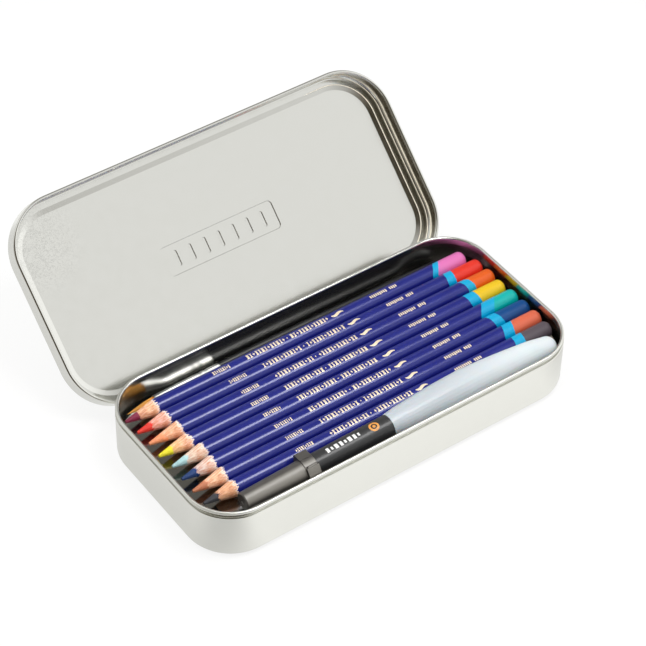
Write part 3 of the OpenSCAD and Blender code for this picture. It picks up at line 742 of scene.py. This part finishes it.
# the outer hairs stop short of the tip, and all tips are uneven
TIP_GAP, OUTER_SHORT, TIP_UNEVEN, TIP_STRIDE, TIP_KINDS = 0.05, 1.6, 0.5, 37, 11
# in radians: the turn from one hair to the next, and how far a hair winds round the tuft
GOLDEN_TURN, HAIR_WIND = 2.39996, 0.15
TUFT_RADIUS = 2.0


def ferrule():
    length = FERRULE_END - FERRULE_START
    mouth_end = MOUTH[-1][0]
    profile = list(MOUTH)
    for k in range(1, FERRULE_STEPS):
        d = mouth_end + (length - BOTH_ENDS) * k / FERRULE_STEPS
        r = FERRULE_RADIUS + FERRULE_FLARE * d / length
        for from_end in CRIMPS_FROM_END:
            r -= CRIMP_DEPTH * math.exp(-((d - (length - from_end)) / CRIMP_WIDTH) ** 2)
        profile.append((d, r))
    profile += [(length + d, r) for d, r in TAIL]
    origin = Vector((FERRULE_START, BRUSH_Y, BRUSH_Z))
    piece = turned_piece("ferrule", origin, Vector((1, 0, 0)), profile, nickel_plate(), "brush")
    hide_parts("brush_ferrule")


def tuft():
    verts, faces = [], []
    root = FERRULE_START + HAIR_ROOT
    corners = [2 * math.pi * c / HAIR_SIDES for c in range(HAIR_SIDES)]
    for h in range(HAIRS):
        # the hairs fill the tuft in a spiral; the middle ones reach the tip and the outer ones stop short
        share = math.sqrt((h + 0.5) / HAIRS)
        turn = h * GOLDEN_TURN
        uneven = TIP_UNEVEN * ((h * TIP_STRIDE) % TIP_KINDS) / TIP_KINDS
        reach = BRISTLE_TIP + TIP_GAP + OUTER_SHORT * share ** 2 + uneven
        first = len(verts)
        for k in range(HAIR_STEPS + 1):
            t = k / HAIR_STEPS
            spread = TUFT_RADIUS * share * (1 - LEAN_IN * t - CURVE_IN * t ** CURVE_POWER)
            thick = HAIR_RADIUS * (1 - HAIR_TAPER * t)
            x = root + (reach - root) * t
            y = BRUSH_Y + spread * math.cos(turn + HAIR_WIND * t)
            z = BRUSH_Z + spread * math.sin(turn + HAIR_WIND * t)
            verts += [(x, y + thick * math.cos(c), z + thick * math.sin(c)) for c in corners]
        for k in range(HAIR_STEPS):
            for c in range(HAIR_SIDES):
                a, b = first + HAIR_SIDES * k + c, first + HAIR_SIDES * k + (c + 1) % HAIR_SIDES
                faces.append((a, b, b + HAIR_SIDES, a + HAIR_SIDES))
    golden = brush_hair("golden_synthetic_hair", "#ffcc66", "#fba436")
    piece = mesh_piece("tuft", verts, faces, golden, "brush")
    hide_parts("brush_bristles")


ferrule()
tuft()

# Water brush: it lies aslant, so that its marks and trim are placed along its own axis, from the
# closed end of the cap
PEN_START = Vector((-73.3, -34.0, 19.9))
LEAN, TURN = math.radians(0.87), math.radians(0.37)
PEN_ALONG = Vector((math.cos(LEAN) * math.cos(TURN), -math.cos(LEAN) * math.sin(TURN), math.sin(LEAN)))
PEN_SIDE = Vector((0, 0, 1)).cross(PEN_ALONG).normalized()
PEN_OVER = PEN_ALONG.cross(PEN_SIDE)


# Place on the water brush: distance along it, degrees from its top to the front, and radius
def on_pen(d, degrees, r):
    angle = math.radians(degrees)
    return PEN_START + PEN_ALONG * d + (PEN_OVER * math.cos(angle) - PEN_SIDE * math.sin(angle)) * r


# Grip: it widens along its length, and its printed marks lie just above it
GRIP_START, GRIP_LENGTH, GRIP_RADIUS, GRIP_FLARE = 34, 37, 4.8, 0.4
INK_LIFT = 0.015
RING_AT, RING_TURN, RING_SIDES = 63.4, 4, 40
DASH_WIDTHS, DASH_HEIGHTS, DASH_GAP, DASH_STEPS = (1.3, 0.9, 1.6), (1.15, 0.75, 1.15), 0.9, 5


def grip_radius(d):
    return GRIP_RADIUS + GRIP_FLARE * (d - GRIP_START) / GRIP_LENGTH


# Place on the grip's skin, given by the distance round it from a line at some degrees
def on_grip(d, degrees, round_by, measured_at):
    turned = degrees + math.degrees(round_by / grip_radius(measured_at))
    return on_pen(d, turned, grip_radius(d) + INK_LIFT)


def grip_ring(name, inner, outer, material):
    verts, faces = [], []
    for k in range(RING_SIDES):
        angle = 2 * math.pi * k / RING_SIDES
        for r in (inner, outer):
            d = RING_AT + r * math.cos(angle)
            verts.append(on_grip(d, RING_TURN, r * math.sin(angle), d))
    for k in range(RING_SIDES):
        a, b = 2 * k, 2 * ((k + 1) % RING_SIDES)
        faces.append((a, a + 1, b + 1, b))
    mesh_piece(name, verts, faces, material, "water_brush")


def grip_dashes(name, start, stop, degrees, material):
    verts, faces = [], []
    d, count = start, 0
    while d < stop:
        wide, tall = DASH_WIDTHS[count % 3], DASH_HEIGHTS[count % 3]
        first = len(verts)
        for k in range(DASH_STEPS + 1):
            round_by = (2 * k / DASH_STEPS - 1) * tall
            verts += [on_grip(x, degrees, round_by, d) for x in (d, d + wide)]
        for k in range(DASH_STEPS):
            a = first + 2 * k
            faces.append((a, a + 1, a + 3, a + 2))
        d += wide + DASH_GAP
        count += 1
    mesh_piece(name, verts, faces, material, "water_brush")


WHITE_INK = plastic("white_pad_printed_ink", ("#f2f2f0", "#dcdcda"), 0.5)
AMBER_INK = plastic("amber_pad_printed_ink", ("#e8a04c", "#d08a3c"), 0.45)
grip_dashes("grip_dashes", 40.2, 57.0, 3, WHITE_INK)
grip_ring("grip_ring", 1.35, 2.25, AMBER_INK)
grip_ring("grip_dot", 0.02, 0.7, AMBER_INK)

# Closed end of the cap: a raised ring, and the moulding gate's ring in the middle
END_RING = [(0.1, 3.3), (0.0, 3.1), (0.12, 2.8), (0.3, 2.7), (0.3, 2.5), (0.1, 2.3)]
GATE_RING = [(0.3, 1.5), (0.02, 1.35), (0.02, 1.2), (0.3, 1.05)]
turned_piece("cap_end_ring", PEN_START, PEN_ALONG, END_RING, CAP_PLASTIC, "water_brush_cap")
turned_piece("cap_gate_ring", PEN_START, PEN_ALONG, GATE_RING, CAP_PLASTIC, "water_brush_cap")

# Clip of the cap: a small raised box moulded on its ring, with chamfered edges
BOX_START, BOX_STOP, BOX_TURN, BOX_HALF_TURN = 28.7, 33.6, 46.0, 17.0
BOX_FOOT, BOX_TOP, BOX_CHAMFER = 5.15, 6.15, 0.4


def cap_clip_box(name):
    lean = math.degrees(BOX_CHAMFER / BOX_TOP)
    levels = [(BOX_FOOT, 0.0, 0.0), (BOX_TOP - BOX_CHAMFER, 0.0, 0.0), (BOX_TOP, BOX_CHAMFER, lean)]
    verts, faces = [], []
    for r, inset, turn in levels:
        low, high = BOX_START + inset, BOX_STOP - inset
        left, right = BOX_TURN - BOX_HALF_TURN + turn, BOX_TURN + BOX_HALF_TURN - turn
        corners = ((low, left), (high, left), (high, right), (low, right))
        verts += [on_pen(d, degrees, r) for d, degrees in corners]
    for level in range(len(levels) - 1):
        for k in range(4):
            a, b = level * 4 + k, level * 4 + (k + 1) % 4
            faces.append((a, b, b + 4, a + 4))
    top = 4 * (len(levels) - 1)
    faces.append(tuple(range(top, top + 4)))
    mesh_piece(name, verts, faces, CAP_PLASTIC, "water_brush_cap", smooth=False)


cap_clip_box("cap_clip_box")

# Studio: white sweep, plain bright world, one soft strip overhead, a large top light, a small side
# light, and the dark area round the camera that the curled edges pick up. Sizes here are in metres.
# Lamps: place, width along the tin, depth, power, and whether mirrors show them.
LAMPS = [
    ("strip", (0.10, -0.13, 0.50), 0.28, 0.19, 1.5, True),
    ("top", (-0.35, 0.35, 1.2), 0.9, 0.9, 4.0, False),
    ("side", (-0.7, -0.05, 0.45), 0.4, 0.4, 2.0, False),
]
# The plain world, and what mirrors see of it: the dim room, then each bright screen with its
# direction, the cosines of its full and outer edge, and its colour. The last two are dark:
# the camera side, and a gap between the screens behind the lid.
WORLD_LEVEL = 0.68
ROOM = (0.44, 0.432, 0.41, 1.0)
SCREENS = [
    ((0.60, -0.56, 0.57), 0.93, 0.80, (0.80, 0.80, 0.785, 1.0)),
    ((0.95, -0.25, 0.19), 0.90, 0.72, (1.0, 1.0, 0.985, 1.0)),
    ((-0.43, 0.58, 0.69), 0.93, 0.78, (0.85, 0.85, 0.83, 1.0)),
    ((-0.62, -0.55, 0.56), 0.85, 0.60, (0.14, 0.12, 0.09, 1.0)),
    ((0.43, 0.58, 0.69), 0.985, 0.90, (0.22, 0.217, 0.205, 1.0)),
]
FLOOR_SIZE, FLOOR_Z = 8, -0.0002
SWEEP_WHITE = (0.94, 0.94, 0.92, 1.0)
# how much of the paper turns plain white where it is seen straight, and how much of its image in a
# mirror is the bright sweep
STRAIGHT_SHARE, MIRROR_SHARE = 0.8, 0.85
# corner of the sweep by the tin's near left end, where its painted shade is deepest, in millimetres
SHADED_CORNER = (-100.0, -54.0, 0.0)
FLAG_SIZE, FLAG_BEHIND_CAMERA = 1.0, 0.12


# 1 where the backdrop is seen straight or through something clear, which is where it is plain white
def seen_straight(tree):
    camera_ray = add(tree, "LightPath", take="Is Camera Ray")
    clear_ray = add(tree, "LightPath", take="Is Transmission Ray")
    return add(tree, "Math", {"Value": camera_ray, "Value_001": clear_ray}, operation="MAXIMUM")


# The sweep's level in mirrors, a painted shade on it: dimmer to the left of the tin, most of all at the near
# left corner, and dimmer past its right-hand end
def mirrored_sweep(tree):
    place = millimetres(tree)
    x = add(tree, "SeparateXYZ", {"Vector": place}, take="X")
    left = add(tree, "MapRange", {
        "Value": x, "From Min": -100.0, "From Max": -62.0, "To Min": 0.71, "To Max": 0.96},
        interpolation_type="SMOOTHSTEP")
    right = add(tree, "MapRange", {
        "Value": x, "From Min": 80.0, "From Max": 108.0, "To Min": 1.0, "To Max": 0.72})
    from_corner = add(tree, "VectorMath", {
        "Vector": place, "Vector_001": SHADED_CORNER}, take="Value", operation="DISTANCE")
    corner = add(tree, "MapRange", {
        "Value": from_corner, "From Min": 8.0, "From Max": 36.0, "To Min": 0.74, "To Max": 1.0},
        interpolation_type="SMOOTHSTEP")
    level = add(tree, "Math", {"Value": left, "Value_001": right}, operation="MULTIPLY")
    return add(tree, "Math", {"Value": level, "Value_001": corner}, operation="MULTIPLY")


def white_sweep():
    material, tree = new_material("white_sweep")
    paper = add(tree, "BsdfDiffuse", {"Color": paint("#f4f4f2")})
    white = add(tree, "Emission", {"Color": WHITE, "Strength": 1.0})
    bright = add(tree, "Emission", {"Color": SWEEP_WHITE, "Strength": mirrored_sweep(tree)})
    lift = add(tree, "Math", {
        "Value": seen_straight(tree), "Value_001": STRAIGHT_SHARE}, operation="MULTIPLY")
    lit = add(tree, "MixShader", {"Fac": lift, "Shader": paper, "Shader_001": white})
    mirror_ray = add(tree, "LightPath", take="Is Glossy Ray")
    mirror = add(tree, "Math", {
        "Value": mirror_ray, "Value_001": MIRROR_SHARE}, operation="MULTIPLY")
    shader = add(tree, "MixShader", {"Fac": mirror, "Shader": lit, "Shader_001": bright})
    add(tree, "OutputMaterial", {"Surface": shader})
    bpy.ops.mesh.primitive_plane_add(size=FLOOR_SIZE, location=(0, 0, FLOOR_Z))
    floor = bpy.context.object
    floor.name = "floor"
    floor.data.materials.append(material)


def dark_card():
    material, tree = new_material("dark_card")
    shader = add(tree, "BsdfDiffuse", {"Color": paint("#40382a")})
    add(tree, "OutputMaterial", {"Surface": shader})
    bpy.ops.mesh.primitive_plane_add(size=FLAG_SIZE)
    flag = bpy.context.object
    flag.name = "flag"
    camera = scene.camera.matrix_world
    flag.matrix_world = camera @ Matrix.Translation((0.0, 0.0, FLAG_BEHIND_CAMERA))
    flag.data.materials.append(material)
    # a view from farther back looks through it
    flag.visible_camera = False


def studio_world():
    world = bpy.data.worlds.new("studio")
    world.use_nodes = True
    tree = world.node_tree
    tree.nodes.clear()
    plain = add(tree, "Background", {"Color": WHITE, "Strength": WORLD_LEVEL})
    toward = add(tree, "TexCoord", take="Generated")
    room = ROOM
    for direction, full, outer, colour in SCREENS:
        facing = add(tree, "VectorMath", {
            "Vector": toward, "Vector_001": direction}, take="Value", operation="DOT_PRODUCT")
        level = add(tree, "MapRange", {
            "Value": facing, "From Min": outer, "From Max": full}, interpolation_type="SMOOTHSTEP")
        room = add(tree, "Mix", {"Factor": level, "A": room, "B": colour}, data_type="RGBA")
    mirrored = add(tree, "Background", {"Color": room, "Strength": 1.0})
    white = add(tree, "Background", {"Color": WHITE, "Strength": 1.0})
    mirror_ray = add(tree, "LightPath", take="Is Glossy Ray")
    mixed = add(tree, "MixShader", {"Fac": mirror_ray, "Shader": plain, "Shader_001": mirrored})
    mixed = add(tree, "MixShader", {"Fac": seen_straight(tree), "Shader": mixed, "Shader_001": white})
    add(tree, "OutputWorld", {"Surface": mixed})
    scene.world = world


# The lid takes no light from this lamp, as if a black flag stood between them
def keep_off_lid(lamp):
    shaded = bpy.data.collections.new("flagged_off")
    shaded.objects.link(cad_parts["lid_shell"])
    shaded.collection_objects[0].light_linking.link_state = "EXCLUDE"
    lamp.light_linking.receiver_collection = shaded


def studio_lamps():
    for name, place, wide, deep, power, mirrors in LAMPS:
        data = bpy.data.lights.new(name, "AREA")
        data.shape = "RECTANGLE"
        data.size, data.size_y = wide, deep
        data.energy = power
        lamp = bpy.data.objects.new(name, data)
        away = Vector(place).normalized()
        across = (Vector((1, 0, 0)) - away * away.x).normalized()
        turn = Matrix((across, away.cross(across), away)).transposed().to_4x4()
        lamp.matrix_world = Matrix.Translation(Vector(place)) @ turn
        lamp.visible_glossy = mirrors
        scene.collection.objects.link(lamp)
        if mirrors:
            keep_off_lid(lamp)


white_sweep()
dark_card()
studio_world()
studio_lamps()
